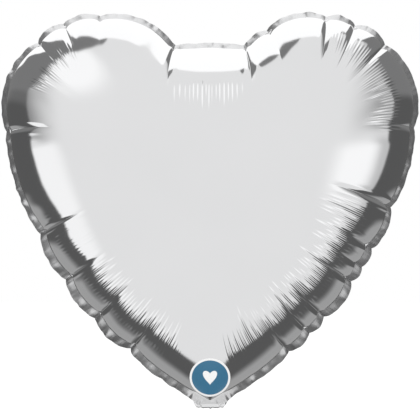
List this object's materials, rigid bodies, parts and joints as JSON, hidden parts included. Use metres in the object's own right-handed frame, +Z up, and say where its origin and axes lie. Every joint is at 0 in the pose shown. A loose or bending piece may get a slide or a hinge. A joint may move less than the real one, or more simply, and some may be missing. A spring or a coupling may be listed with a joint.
{
  "type": "heart-shaped foil balloon",
  "caption": "Inflated heart-shaped balloon of two silver film panels with a flat welded seam, a fold-over filling neck and a self-sealing film valve.",
  "frame": {"origin": "under the balloon's middle, level with the lowest point of the neck fold at the tip", "axes": "+Z up, from the tip to the lobes; +X across the two lobes; -Y out of the front panel; +Y is the side the neck is folded to"},
  "size_m": [0.3798, 0.1648, 0.3597],
  "materials": {
    "silver_foil": "thin metallised film, mirror-like, with fine puckers at the seam",
    "clear_film": "clear, slightly hazy polyethylene film"
  },
  "bodies": {
    "envelope": {"front_panel": "silver_foil", "back_panel": "silver_foil", "seam_valve_front_film": "clear_film", "seam_valve_back_film": "clear_film"},
    "neck": {"neck_front_foil": "silver_foil", "neck_back_foil": "silver_foil", "neck_valve_front_film": "clear_film", "neck_valve_back_film": "clear_film"},
    "valve": {"valve_back_film": "clear_film"},
    "valve_flap": {"valve_front_film": "clear_film"}
  },
  "joints": [
    {"name": "neck_fold", "type": "hinge", "parent": "envelope", "child": "neck", "pos_m": [0, 0, 0.0005], "axis": [-1, 0, 0], "range_deg": [0, 170]},
    {"name": "valve_swing", "type": "hinge", "parent": "envelope", "child": "valve", "pos_m": [0, 0, 0.0165], "axis": [1, 0, 0], "range_deg": [-25, 25]},
    {"name": "valve_opening", "type": "hinge", "parent": "valve", "child": "valve_flap", "pos_m": [0, 0, 0.0165], "axis": [1, 0, 0], "range_deg": [0, 8]}
  ]
}
